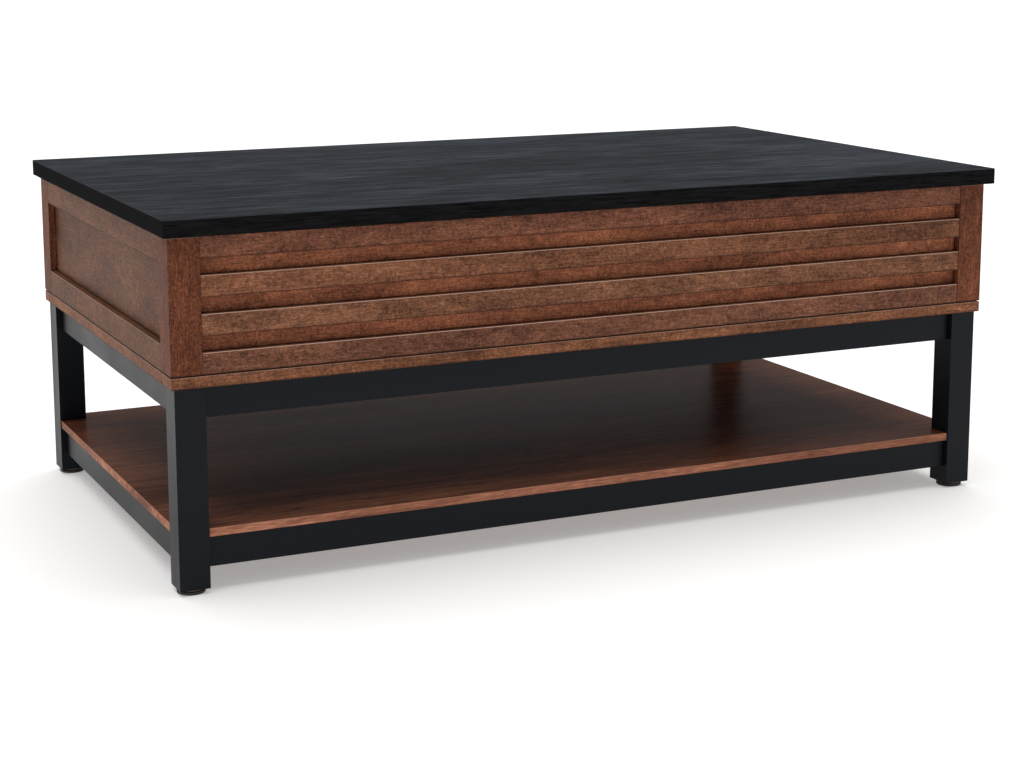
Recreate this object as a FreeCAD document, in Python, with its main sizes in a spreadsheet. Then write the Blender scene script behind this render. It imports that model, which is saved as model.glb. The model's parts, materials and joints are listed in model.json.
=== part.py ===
import FreeCAD, Part
import os
import re
import Sketcher

# Lift top coffee table: a black leg frame with a shelf, a slatted storage case, and a top on a
# pair of parallel arm linkages that carry it up and forward while it stays level.
# Millimetres. X runs along the table, Y towards the rear, Z up; the origin is on the floor at the
# centre of the footprint.

DIMENSIONS = {
    "table_length": 1219,
    "table_depth": 711,
    "table_height": 471,
    # lifting top
    "top_thick": 22,
    "top_side_overhang": 8.5,
    "top_front_overhang": 14.5,
    "top_gap": 2,
    "top_corner": 3,
    "top_ease": 1.2,
    # leg frame
    "leg_width": 39,
    "leg_inset": 5,
    "leg_bottom": 7,
    "rail_height": 40,
    "rail_setback": 8.5,
    "lower_rail_bottom": 32,
    "shelf_thick": 11,
    "shelf_setback": 1.5,
    "shelf_notch_play": 0.5,
    "block_height": 25,
    "block_inner": 50,
    "block_outer": 16,
    # base frame under the case
    "case_bottom": 277.5,
    "frame_thick": 16,
    "frame_width": 42,
    "groove_height": 1.2,
    "groove_depth": 3,
    # case
    "post_front": 40,
    "post_side": 43,
    "slat_count": 4,
    "slat_height": 27,
    "slat_thick": 10.5,
    "slat_setback": 0.5,
    "backboard_thick": 16,
    "side_thick": 22,
    "side_bottom_height": 34,
    "side_top_height": 34.5,
    "panel_setback": 10,
    "panel_thick": 10,
    "panel_tongue": 5,
    "floor_thick": 9,
    "bumper_radius": 6,
    "bumper_play": 0.3,
    # levelling feet
    "foot_radius": 18,
    "foot_pad_height": 4.7,
    "foot_chamfer": 1,
    "collar_radius": 17,
    "collar_height": 2,
    "insert_radius": 6,
    "insert_top": 47,
    "stem_radius": 4,
    "stem_top": 45,
    "running_play": 0.05,
    # lift linkage
    "rear_pivot_depth": 0,
    "pivot_height": 385,
    "pivot_spacing": 140,
    "lift_arm": 280,
    "closed_angle": 9,
    "open_angle": 131,
    "arm_width": 24,
    "arm_thick": 4,
    "plate_thick": 3,
    "side_gap": 1,
    "face_gap": 0.3,
    "pin_radius": 4,
    "pin_head_radius": 6.5,
    "pin_head_thick": 2.2,
    "spacer_radius": 7,
    "stop_radius": 5,
    "stop_reach": 30,
    "tube_radius": 9.5,
    "tube_wall": 1.5,
    "flange_width": 33,
    "bracket_margin": 16,
    "bracket_drop": 14,
    # base plates, from the pivots (reach), the pivots' height (drop) and the case
    "plate_top_margin": 7,
    "plate_nose_reach": 50,
    "plate_nose_drop": 17,
    "plate_bend_reach": 40,
    "plate_bend_drop": 40,
    "plate_foot_start": 15,
    "plate_foot_clear": 9,
    "plate_tail_reach": 24,
    "plate_tail_rise": 16,
    "plate_shoulder_reach": 70,
    "plate_shoulder_drop": 32,
    "screw_front_reach": 30,
    "screw_middle_reach": 50,
    "screw_low_reach": 35,
    "screw_tail_reach": 12,
    "screw_low_rise": 25.5,
    # extension springs
    "tail_length": 40,
    "stud_radius": 3,
    "stud_reach": 33,
    "spring_centre": 27,
    "spring_length": 200,
    "spring_radius": 8,
    "spring_wall": 2.5,
    "spring_hook": 14,
    "eye_radius": 5.5,
    "hook_wire": 1.25,
    # wood screws
    "screw_radius": 2,
    "screw_head_radius": 4,
    "screw_head_depth": 2,
    "screw_length": 15,
}

doc = FreeCAD.newDocument("lift_top_table")
sheet = doc.addObject("Spreadsheet::Sheet", "Dims")
for row, (alias, size) in enumerate(DIMENSIONS.items(), start=1):
    sheet.set(f"A{row}", alias.replace("_", " "))
    sheet.set(f"B{row}", str(size))
    sheet.setAlias(f"B{row}", alias)
doc.recompute()

NODES = []
VECTOR = FreeCAD.Vector
ALONG_X = FreeCAD.Rotation(VECTOR(0, 1, 0), 90)

# Formulas for the places that many pieces share.
CASE_X = "(table_length / 2 - top_side_overhang)"
CASE_Y = "(table_depth / 2 - top_front_overhang)"
TOP_UNDER = "(table_height - top_thick)"
CASE_TOP = f"({TOP_UNDER} - top_gap)"
LEG_X = f"({CASE_X} - leg_inset)"
LEG_Y = f"({CASE_Y} - leg_inset)"
LEG_TOP = "(case_bottom - frame_thick)"
LEG_CENTRE_X = f"({LEG_X} - leg_width / 2)"
LEG_CENTRE_Y = f"({LEG_Y} - leg_width / 2)"
SHELF_BOTTOM = "(lower_rail_bottom + rail_height)"
POST_X = f"({CASE_X} - post_front)"
POST_Y = f"({CASE_Y} - post_side)"
WALL_X = f"({CASE_X} - side_thick)"
SLAT_FACE = f"({CASE_Y} - slat_setback)"
SLAT_BACK = f"({SLAT_FACE} - slat_thick)"
BOARD_BACK = f"({SLAT_BACK} - backboard_thick)"

# The linkage's layers, from the side wall inwards.
PLATE_IN = f"({WALL_X} - plate_thick)"
FRONT_ARM_OUT = f"({PLATE_IN} - side_gap)"
FRONT_ARM_IN = f"({FRONT_ARM_OUT} - arm_thick)"
FLANGE_OUT = f"({FRONT_ARM_IN} - side_gap)"
FLANGE_IN = f"({FLANGE_OUT} - plate_thick)"
REAR_ARM_OUT = f"({FLANGE_IN} - side_gap)"
REAR_ARM_IN = f"({REAR_ARM_OUT} - arm_thick)"

# The linkage's pivots with the top closed.
REACH_Y = "(lift_arm * cos(closed_angle * 1 deg))"
REACH_Z = "(lift_arm * sin(closed_angle * 1 deg))"
REAR_Y = "rear_pivot_depth"
FRONT_Y = "(rear_pivot_depth - pivot_spacing)"
REAR_TOP_Y = f"({REAR_Y} + {REACH_Y})"
FRONT_TOP_Y = f"({FRONT_Y} + {REACH_Y})"
UPPER_Z = f"(pivot_height + {REACH_Z})"

# The springs pull along the chord of the tail pin's travel, so they point at it in both limits.
SPRING_TURN = "((closed_angle + open_angle) / 2)"
TAIL_Y = f"({REAR_Y} - tail_length * cos(closed_angle * 1 deg))"
TAIL_Z = "(pivot_height - tail_length * sin(closed_angle * 1 deg))"
HOOK_Y = f"({TAIL_Y} + spring_length * sin({SPRING_TURN} * 1 deg))"
HOOK_Z = f"({TAIL_Z} - spring_length * cos({SPRING_TURN} * 1 deg))"

SIDES = {"left": -1, "right": 1}
ENDS = {"front": -1, "rear": 1}


def formula(text):
    """Point each dimension named in a formula at its cell in the sheet."""

    def cell(word):
        return f"Dims.{word[0]}" if word[0] in DIMENSIONS else word[0]

    return re.sub(r"[a-z]\w*", cell, text)


def bind(thing, prop, text):
    thing.setExpression(prop, formula(text))


def put(thing, x="0", y="0", z="0", turn=None):
    """Place an object by formulas, turned about X where turn is given."""
    if turn is not None:
        thing.Placement = FreeCAD.Placement(VECTOR(0, 0, 0), FreeCAD.Rotation(VECTOR(1, 0, 0), 1))
        bind(thing, "Placement.Rotation.Angle", f"{turn} * 1 deg")
    bind(thing, "Placement.Base.x", x)
    bind(thing, "Placement.Base.y", y)
    bind(thing, "Placement.Base.z", z)
    return thing


def node(thing, label):
    """Name a finished piece and keep it for export."""
    thing.Label = label
    NODES.append(thing)
    return thing


def mirrored(span, sign):
    """A span of formulas, reflected through zero when sign is negative."""
    low, high = span
    if sign > 0:
        return (low, high)
    return (f"-({high})", f"-({low})")


def board(name, x, y, z):
    """A straight board between formulas for its low and high faces."""
    box = doc.addObject("Part::Box", name)
    for prop, (low, high) in zip(("Length", "Width", "Height"), (x, y, z)):
        bind(box, prop, f"({high}) - ({low})")
    return put(box, x[0], y[0], z[0])


def rod(name, radius, length):
    """A round bar along Z from its own origin."""
    bar = doc.addObject("Part::Cylinder", name)
    bind(bar, "Radius", radius)
    bind(bar, "Height", length)
    return bar


def cross_rod(name, radius, x, y, z):
    """A round bar along X between two formulas."""
    bar = rod(name, radius, f"({x[1]}) - ({x[0]})")
    bar.Placement = FreeCAD.Placement(VECTOR(0, 0, 0), ALONG_X)
    return put(bar, x[0], y, z)


def cone(name, low_radius, high_radius, height):
    """A round taper along Z from its own origin."""
    taper = doc.addObject("Part::Cone", name)
    bind(taper, "Radius1", low_radius)
    bind(taper, "Radius2", high_radius)
    bind(taper, "Height", height)
    return taper


def join(name, shapes):
    fused = doc.addObject("Part::MultiFuse", name)
    fused.Shapes = shapes
    return fused


def group(name, shapes):
    """Identical loose pieces kept as separate solids of one node."""
    loose = doc.addObject("Part::Compound", name)
    loose.Links = shapes
    return loose


def carve(name, body, tools):
    cut = doc.addObject("Part::Cut", name)
    cut.Base = body
    cut.Tool = tools[0] if len(tools) == 1 else group(f"{name}_tools", tools)
    return cut


def origin_plane(body, role):
    return next(item for item in body.Origin.OriginFeatures if item.Role == role)


def value(text):
    """The number a formula gives, for a sketch's starting shape."""
    return float(sheet.evalExpression(text))


def hold_point(sketch, geometry, vertex, label, formulas):
    """Hold one sketch point at formulas measured from the sketch's origin."""
    for axis, text in zip("XY", formulas):
        rule = Sketcher.Constraint(f"Distance{axis}", -1, 1, geometry, vertex, value(text))
        index = sketch.addConstraint(rule)
        sketch.renameConstraint(index, f"{label}_{axis}")
        bind(sketch, f"Constraints.{label}_{axis}", text)


def outline(body, role, corners, holes=()):
    """A sketch of straight edges through corner formulas, with round holes (centre and radius)."""
    sketch = body.newObject("Sketcher::SketchObject", "Outline")
    sketch.AttachmentSupport = [(origin_plane(body, role), "")]
    sketch.MapMode = "FlatFace"
    points = [VECTOR(value(across), value(up), 0) for across, up in corners]
    count = len(points)
    for index, point in enumerate(points):
        sketch.addGeometry(Part.LineSegment(point, points[(index + 1) % count]))
    for across, up, radius in holes:
        middle = VECTOR(value(across), value(up), 0)
        sketch.addGeometry(Part.Circle(middle, VECTOR(0, 0, 1), value(radius)))
    for index in range(count):
        sketch.addConstraint(Sketcher.Constraint("Coincident", index, 2, (index + 1) % count, 1))
    for index, corner in enumerate(corners):
        hold_point(sketch, index, 1, f"corner{index}", corner)
    for index, (across, up, radius) in enumerate(holes):
        hold_point(sketch, count + index, 3, f"hole{index}", (across, up))
        size = sketch.addConstraint(Sketcher.Constraint("Radius", count + index, value(radius)))
        sketch.renameConstraint(size, f"size{index}")
        bind(sketch, f"Constraints.size{index}", radius)
    return sketch


def sheet_body(name, role, corners, thickness, holes=()):
    """A flat piece padded from an outline on one of its own planes."""
    body = doc.addObject("PartDesign::Body", name)
    sketch = outline(body, role, corners, holes)
    pad = body.newObject("PartDesign::Pad", "Thickness")
    pad.Profile = sketch
    bind(pad, "Length", thickness)
    doc.recompute()
    return body


def turned_body(name, corners):
    """A round piece turned about Z from a half outline."""
    body = doc.addObject("PartDesign::Body", name)
    sketch = outline(body, "XZ_Plane", corners)
    turn = body.newObject("PartDesign::Revolution", "Turning")
    turn.Profile = sketch
    turn.ReferenceAxis = (sketch, ["V_Axis"])
    turn.Angle = 360
    doc.recompute()
    return body


def legs():
    """Square legs, bored from below for the levelling feet."""
    for end, depth_sign in ENDS.items():
        for side, sign in SIDES.items():
            name = f"leg_{end}_{side}"
            x = mirrored((f"{LEG_X} - leg_width", LEG_X), sign)
            y = mirrored((f"{LEG_Y} - leg_width", LEG_Y), depth_sign)
            post = board(f"{name}_blank", x, y, ("leg_bottom", LEG_TOP))
            bore = rod(f"{name}_bore", "insert_radius", "insert_top - leg_bottom")
            put(bore, f"{sign} * {LEG_CENTRE_X}", f"{depth_sign} * {LEG_CENTRE_Y}", "leg_bottom")
            node(carve(name, post, [bore]), name)


def rails(level, bottom):
    """The four rails of one level, centred on the legs and butted between them."""
    height = (bottom, f"{bottom} + rail_height")
    depth = (f"{LEG_Y} - leg_width + rail_setback", f"{LEG_Y} - rail_setback")
    width = (f"{LEG_X} - leg_width + rail_setback", f"{LEG_X} - rail_setback")
    between_x = (f"leg_width - {LEG_X}", f"{LEG_X} - leg_width")
    between_y = (f"leg_width - {LEG_Y}", f"{LEG_Y} - leg_width")
    for end, sign in ENDS.items():
        name = f"{level}_rail_{end}"
        node(board(name, between_x, mirrored(depth, sign), height), name)
    for side, sign in SIDES.items():
        name = f"{level}_rail_{side}"
        node(board(name, mirrored(width, sign), between_y, height), name)


def notched_corners(half_x, half_y, notch_x, notch_y):
    """The outline of a rectangle whose four corners are cut back to notch_x and notch_y."""
    quarter = [(half_x, notch_y), (notch_x, notch_y), (notch_x, half_y)]
    corners = []
    for sign_x, sign_y in ((1, 1), (-1, 1), (-1, -1), (1, -1)):
        points = [(f"{sign_x} * ({x})", f"{sign_y} * ({y})") for x, y in quarter]
        corners += points if sign_x == sign_y else points[::-1]
    return corners


def shelf():
    """The lower shelf: notched round the legs and standing on the lower rails."""
    corners = notched_corners(
        f"{LEG_X} - shelf_setback",
        f"{LEG_Y} - shelf_setback",
        f"{LEG_X} - leg_width - shelf_notch_play",
        f"{LEG_Y} - leg_width - shelf_notch_play",
    )
    body = sheet_body("shelf", "XY_Plane", corners, "shelf_thick")
    node(put(body, z=SHELF_BOTTOM), "shelf")


def corner_blocks():
    """Diagonal wooden blocks across the inner corners of the upper rails."""
    inner_x = f"({LEG_X} - leg_width + rail_setback)"
    inner_y = f"({LEG_Y} - leg_width + rail_setback)"
    blocks = []
    for depth_sign in ENDS.values():
        for sign in SIDES.values():
            reach = "(block_inner + rail_setback)"
            shape = [
                (f"{inner_x} - {reach}", inner_y),
                (f"{inner_x} - block_outer - rail_setback", inner_y),
                (inner_x, f"{inner_y} - block_outer - rail_setback"),
                (inner_x, f"{inner_y} - {reach}"),
            ]
            corners = [(f"{sign} * ({x})", f"{depth_sign} * ({y})") for x, y in shape]
            block = sheet_body("corner_block", "XY_Plane", corners, "block_height")
            blocks.append(put(block, z=f"{LEG_TOP} - block_height"))
    node(group("corner_blocks", blocks), "corner_blocks")


def feet():
    """Levelling feet on threaded stems, under flanged inserts let into the legs."""
    foot_profile = [
        ("0", "0"),
        ("foot_radius - foot_chamfer", "0"),
        ("foot_radius", "foot_chamfer"),
        ("foot_radius", "foot_pad_height - foot_chamfer"),
        ("foot_radius - foot_chamfer", "foot_pad_height"),
        ("stem_radius", "foot_pad_height"),
        ("stem_radius", "stem_top"),
        ("0", "stem_top"),
    ]
    insert_profile = [
        ("stem_radius + running_play", "leg_bottom - collar_height"),
        ("collar_radius", "leg_bottom - collar_height"),
        ("collar_radius", "leg_bottom"),
        ("insert_radius", "leg_bottom"),
        ("insert_radius", "insert_top"),
        ("stem_radius + running_play", "insert_top"),
    ]
    inserts = []
    for end, depth_sign in ENDS.items():
        for side, sign in SIDES.items():
            centre = (f"{sign} * {LEG_CENTRE_X}", f"{depth_sign} * {LEG_CENTRE_Y}")
            name = f"foot_{end}_{side}"
            node(put(turned_body(name, foot_profile), *centre), name)
            inserts.append(put(turned_body("insert", insert_profile), *centre))
    node(group("leg_inserts", inserts), "leg_inserts")


def base_frame():
    """The flat frame under the case, with a shadow groove cut round its upper outer edge."""
    height = (LEG_TOP, "case_bottom")
    groove = ("case_bottom - groove_height", "case_bottom")
    outer_x = (f"{CASE_X} - groove_depth", CASE_X)
    outer_y = (f"{CASE_Y} - groove_depth", CASE_Y)
    full_x = (f"-{CASE_X}", CASE_X)
    full_y = (f"-{CASE_Y}", CASE_Y)
    for end, sign in ENDS.items():
        name = f"base_frame_{end}"
        depth = mirrored((f"{CASE_Y} - frame_width", CASE_Y), sign)
        blank = board(f"{name}_blank", full_x, depth, height)
        cuts = [board(f"{name}_groove", full_x, mirrored(outer_y, sign), groove)]
        for side, side_sign in SIDES.items():
            cuts.append(board(f"{name}_{side}_end", mirrored(outer_x, side_sign), full_y, groove))
        node(carve(name, blank, cuts), name)
    between = (f"frame_width - {CASE_Y}", f"{CASE_Y} - frame_width")
    for side, sign in SIDES.items():
        name = f"base_frame_{side}"
        width = mirrored((f"{CASE_X} - frame_width", CASE_X), sign)
        blank = board(f"{name}_blank", width, between, height)
        cut = board(f"{name}_groove", mirrored(outer_x, sign), full_y, groove)
        node(carve(name, blank, [cut]), name)


def storage_floor():
    """The floor of the storage space, notched round the corner posts."""
    corners = notched_corners(WALL_X, BOARD_BACK, POST_X, POST_Y)
    body = sheet_body("storage_floor", "XY_Plane", corners, "floor_thick")
    node(put(body, z="case_bottom"), "storage_floor")


def corner_posts():
    """The case's upright posts, grooved for the side panels."""
    panel_x = (f"{CASE_X} - panel_setback - panel_thick", f"{CASE_X} - panel_setback")
    panel_y = (POST_Y, f"{POST_Y} + panel_tongue")
    panel_z = (
        "case_bottom + side_bottom_height - panel_tongue",
        f"{CASE_TOP} - side_top_height + panel_tongue",
    )
    for end, depth_sign in ENDS.items():
        for side, sign in SIDES.items():
            name = f"corner_post_{end}_{side}"
            x = mirrored((POST_X, CASE_X), sign)
            y = mirrored((POST_Y, CASE_Y), depth_sign)
            blank = board(f"{name}_blank", x, y, ("case_bottom", CASE_TOP))
            groove = board(
                f"{name}_groove", mirrored(panel_x, sign), mirrored(panel_y, depth_sign), panel_z
            )
            node(carve(name, blank, [groove]), name)


def slatted_walls():
    """Front and rear walls: raised slats with gaps between them, on a solid backboard."""
    x = (f"-{POST_X}", POST_X)
    pitch = f"(({CASE_TOP} - case_bottom - slat_height) / (slat_count - 1))"
    for end, sign in ENDS.items():
        name = f"{end}_backboard"
        back = mirrored((BOARD_BACK, SLAT_BACK), sign)
        node(board(name, x, back, ("case_bottom", CASE_TOP)), name)
        for number in range(DIMENSIONS["slat_count"]):
            name = f"{end}_slat_{number + 1}"
            bottom = f"(case_bottom + {number} * {pitch})"
            face = mirrored((SLAT_BACK, SLAT_FACE), sign)
            node(board(name, x, face, (bottom, f"{bottom} + slat_height")), name)


def side_walls():
    """Side walls: a flat panel set back between an upper and a lower rail."""
    y = (f"-{POST_Y}", POST_Y)
    low = "(case_bottom + side_bottom_height)"
    high = f"({CASE_TOP} - side_top_height)"
    panel_x = (f"{CASE_X} - panel_setback - panel_thick", f"{CASE_X} - panel_setback")
    panel_y = (f"-{POST_Y} - panel_tongue", f"{POST_Y} + panel_tongue")
    panel_z = (f"{low} - panel_tongue", f"{high} + panel_tongue")
    spans = {"bottom": ("case_bottom", low), "top": (high, CASE_TOP)}
    for side, sign in SIDES.items():
        for level, z in spans.items():
            name = f"side_{level}_rail_{side}"
            blank = board(f"{name}_blank", mirrored((WALL_X, CASE_X), sign), y, z)
            groove = board(f"{name}_groove", mirrored(panel_x, sign), y, panel_z)
            node(carve(name, blank, [groove]), name)
        name = f"side_panel_{side}"
        node(board(name, mirrored(panel_x, sign), panel_y, panel_z), name)


def rim_bumpers():
    """Soft discs on the posts that the closed top comes to rest on."""
    discs = []
    for depth_sign in ENDS.values():
        for sign in SIDES.values():
            disc = rod("bumper", "bumper_radius", "top_gap - bumper_play")
            x = f"{sign} * ({CASE_X} - post_front / 2)"
            y = f"{depth_sign} * ({CASE_Y} - post_side / 2)"
            discs.append(put(disc, x, y, CASE_TOP))
    node(group("rim_bumpers", discs), "rim_bumpers")


def screw_shape(name, sign):
    """A flat headed wood screw lying along X with its head at its origin."""
    head = cone(f"{name}_head", "screw_head_radius", "screw_radius", "screw_head_depth")
    shank = rod(f"{name}_shank", "screw_radius", "screw_length")
    screw = join(name, [head, shank])
    screw.Placement = FreeCAD.Placement(VECTOR(0, 0, 0), FreeCAD.Rotation(VECTOR(0, 1, 0), 90 * sign))
    return screw


def base_brackets():
    """Steel plates on the side walls with stop and spring studs, and the screws that hold them."""
    top_row = f"({CASE_TOP} - side_top_height / 2)"
    bottom_row = "(case_bottom + screw_low_rise)"
    places = [
        (f"{FRONT_Y} - screw_front_reach", top_row),
        (f"{REAR_Y} - screw_middle_reach", top_row),
        (f"{REAR_Y} + screw_middle_reach", top_row),
        (f"{REAR_Y} + screw_low_reach", bottom_row),
        (f"{HOOK_Y} + screw_tail_reach", bottom_row),
    ]
    upper_edge = f"({CASE_TOP} - plate_top_margin)"
    lower_edge = "(case_bottom + floor_thick + plate_foot_clear)"
    nose = f"({FRONT_Y} - plate_nose_reach)"
    tail = f"({HOOK_Y} + plate_tail_reach)"
    shoulder = f"({REAR_Y} + plate_shoulder_reach)"
    corners = [
        (nose, upper_edge),
        (nose, "pivot_height - plate_nose_drop"),
        (f"{REAR_Y} - plate_bend_reach", "pivot_height - plate_bend_drop"),
        (f"{REAR_Y} + plate_foot_start", lower_edge),
        (tail, lower_edge),
        (tail, f"{HOOK_Z} + plate_tail_rise"),
        (shoulder, "pivot_height - plate_shoulder_drop"),
        (shoulder, upper_edge),
    ]
    pivots = [(FRONT_Y, "pivot_height", "pin_radius"), (REAR_Y, "pivot_height", "pin_radius")]
    stop_from_arm = "(arm_width / 2 + stop_radius + face_gap)"
    open_cos = "cos(open_angle * 1 deg)"
    open_sin = "sin(open_angle * 1 deg)"
    stop_y = f"{FRONT_Y} + stop_reach * {open_cos} - {stop_from_arm} * {open_sin}"
    stop_z = f"pivot_height + stop_reach * {open_sin} + {stop_from_arm} * {open_cos}"
    screws = []
    for side, sign in SIDES.items():
        name = f"base_bracket_{side}"
        plate = sheet_body(f"{name}_plate", "YZ_Plane", corners, "plate_thick", pivots)
        put(plate, mirrored((PLATE_IN, WALL_X), sign)[0])
        stop_x = mirrored((FRONT_ARM_IN, PLATE_IN), sign)
        stop = cross_rod(f"{name}_stop", "stop_radius", stop_x, stop_y, stop_z)
        stud_x = mirrored((f"{WALL_X} - stud_reach", PLATE_IN), sign)
        stud = cross_rod(f"{name}_stud", "stud_radius", stud_x, HOOK_Y, HOOK_Z)
        cutters = []
        for y, z in places:
            for made in (screws, cutters):
                screw = screw_shape(f"{name}_screw", sign)
                made.append(put(screw, f"{sign} * {PLATE_IN}", y, z))
        node(carve(name, join(f"{name}_blank", [plate, stop, stud]), cutters), name)
    node(group("bracket_screws", screws), "bracket_screws")


def lower_pins():
    """Headed pivot pins fixed in the base plates; the rear pair have a spacer behind the arms."""
    pins = []
    for sign in SIDES.values():
        front_face = f"({FRONT_ARM_IN} - face_gap)"
        shaft_x = mirrored((front_face, WALL_X), sign)
        head_x = mirrored((f"{front_face} - pin_head_thick", front_face), sign)
        shaft = cross_rod("front_shaft", "pin_radius", shaft_x, FRONT_Y, "pivot_height")
        head = cross_rod("front_head", "pin_head_radius", head_x, FRONT_Y, "pivot_height")
        pins.append(join("front_pin", [shaft, head]))
        rear_face = f"({REAR_ARM_IN} - face_gap)"
        shaft_x = mirrored((rear_face, WALL_X), sign)
        head_x = mirrored((f"{rear_face} - pin_head_thick", rear_face), sign)
        spacer_x = mirrored((f"{REAR_ARM_OUT} + face_gap", PLATE_IN), sign)
        shaft = cross_rod("rear_shaft", "pin_radius", shaft_x, REAR_Y, "pivot_height")
        head = cross_rod("rear_head", "pin_head_radius", head_x, REAR_Y, "pivot_height")
        spacer = cross_rod("rear_spacer", "spacer_radius", spacer_x, REAR_Y, "pivot_height")
        pins.append(join("rear_pin", [shaft, head, spacer]))
    node(group("lower_pivot_pins", pins), "lower_pivot_pins")


def arm_blank(name, start):
    """A flat arm with rounded ends, from start to the lift arm's length along its own Y."""
    half = "arm_width / 2"
    length = "lift_arm" if start == "0" else f"lift_arm - ({start})"
    bar = doc.addObject("Part::Box", f"{name}_bar")
    bind(bar, "Length", "arm_thick")
    bind(bar, "Width", length)
    bind(bar, "Height", "arm_width")
    put(bar, "0", start, f"-{half}")
    low_end = cross_rod(f"{name}_low_end", half, ("0", "arm_thick"), start, "0")
    high_end = cross_rod(f"{name}_high_end", half, ("0", "arm_thick"), "lift_arm", "0")
    return [bar, low_end, high_end]


def bored(name, shapes):
    """Join an arm's shapes and bore both pivot holes with running play."""
    holes = []
    for place in ("0", "lift_arm"):
        hole = cross_rod(f"{name}_bore", "pin_radius + running_play", ("0", "arm_thick"), place, "0")
        holes.append(hole)
    return carve(name, join(f"{name}_blank", shapes), holes)


def lift_arms():
    """Front and rear arms of both linkages, and the tube that ties the rear arms together."""
    for side, sign in SIDES.items():
        name = f"front_arm_{side}"
        arm = bored(name, arm_blank(name, "0"))
        x = mirrored((FRONT_ARM_IN, FRONT_ARM_OUT), sign)[0]
        node(put(arm, x, FRONT_Y, "pivot_height", "closed_angle"), name)
    stud_in = f"({REAR_ARM_IN} - {WALL_X} + stud_reach)"
    for side, sign in SIDES.items():
        name = f"rear_arm_{side}"
        if sign > 0:
            stud_x = (f"-{stud_in}", "arm_thick / 2")
        else:
            stud_x = ("arm_thick / 2", f"arm_thick + {stud_in}")
        stud = cross_rod(f"{name}_stud", "stud_radius", stud_x, "-tail_length", "0")
        arm = bored(name, arm_blank(name, "-tail_length") + [stud])
        x = mirrored((REAR_ARM_IN, REAR_ARM_OUT), sign)[0]
        node(put(arm, x, REAR_Y, "pivot_height", "closed_angle"), name)
    span = (f"-{REAR_ARM_IN}", REAR_ARM_IN)
    tube = cross_rod("tube_outside", "tube_radius", span, REAR_Y, "pivot_height")
    bore = cross_rod("tube_inside", "tube_radius - tube_wall", span, REAR_Y, "pivot_height")
    node(carve("cross_tube", tube, [bore]), "cross_tube")


def lift_springs():
    """Extension springs as the envelope of their coils, with a hook and eye at each end."""
    coil_length = "spring_length - 2 * spring_hook"
    eye_places = ("0", "spring_length")
    hook_places = ("eye_radius", "spring_length - spring_hook - hook_wire")
    end_coil_places = ("spring_hook", "spring_length - spring_hook - 2 * hook_wire")
    springs = []
    for sign in SIDES.values():
        coil = put(rod("coil_outside", "spring_radius", coil_length), z="spring_hook")
        core = put(rod("coil_inside", "spring_radius - spring_wall", coil_length), z="spring_hook")
        parts = [carve("coils", coil, [core])]
        for eye_at, hook_at, end_coil_at in zip(eye_places, hook_places, end_coil_places):
            eye = doc.addObject("Part::Torus", "eye")
            bind(eye, "Radius1", "eye_radius")
            bind(eye, "Radius2", "hook_wire")
            eye.Placement = FreeCAD.Placement(VECTOR(0, 0, 0), ALONG_X)
            hook = rod("hook", "hook_wire", "spring_hook + hook_wire - eye_radius")
            disc = rod("end_coil", "spring_radius", "2 * hook_wire")
            parts += [put(eye, z=eye_at), put(hook, z=hook_at), put(disc, z=end_coil_at)]
        spring = join("spring", parts)
        put(spring, f"{sign} * ({WALL_X} - spring_centre)", HOOK_Y, HOOK_Z, SPRING_TURN)
        springs.append(spring)
    node(group("lift_springs", springs), "lift_springs")


def top_panel():
    """The one piece top, with rounded corners and eased edges."""
    body = doc.addObject("PartDesign::Body", "top_panel")
    block = body.newObject("PartDesign::AdditiveBox", "Slab")
    bind(block, "Length", "table_length")
    bind(block, "Width", "table_depth")
    bind(block, "Height", "top_thick")
    doc.recompute()
    upright = []
    for index, edge in enumerate(block.Shape.Edges, start=1):
        if edge.BoundBox.ZLength > value("top_thick") / 2:
            upright.append(f"Edge{index}")
    corners = body.newObject("PartDesign::Fillet", "Corners")
    corners.Base = (block, upright)
    bind(corners, "Radius", "top_corner")
    doc.recompute()
    rim = []
    for index, edge in enumerate(corners.Shape.Edges, start=1):
        if edge.BoundBox.ZLength < value("top_ease"):
            rim.append(f"Edge{index}")
    eased = body.newObject("PartDesign::Fillet", "Eased")
    eased.Base = (corners, rim)
    bind(eased, "Radius", "top_ease")
    doc.recompute()
    node(put(body, "-table_length / 2", "-table_depth / 2", TOP_UNDER), "top_panel")


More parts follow.
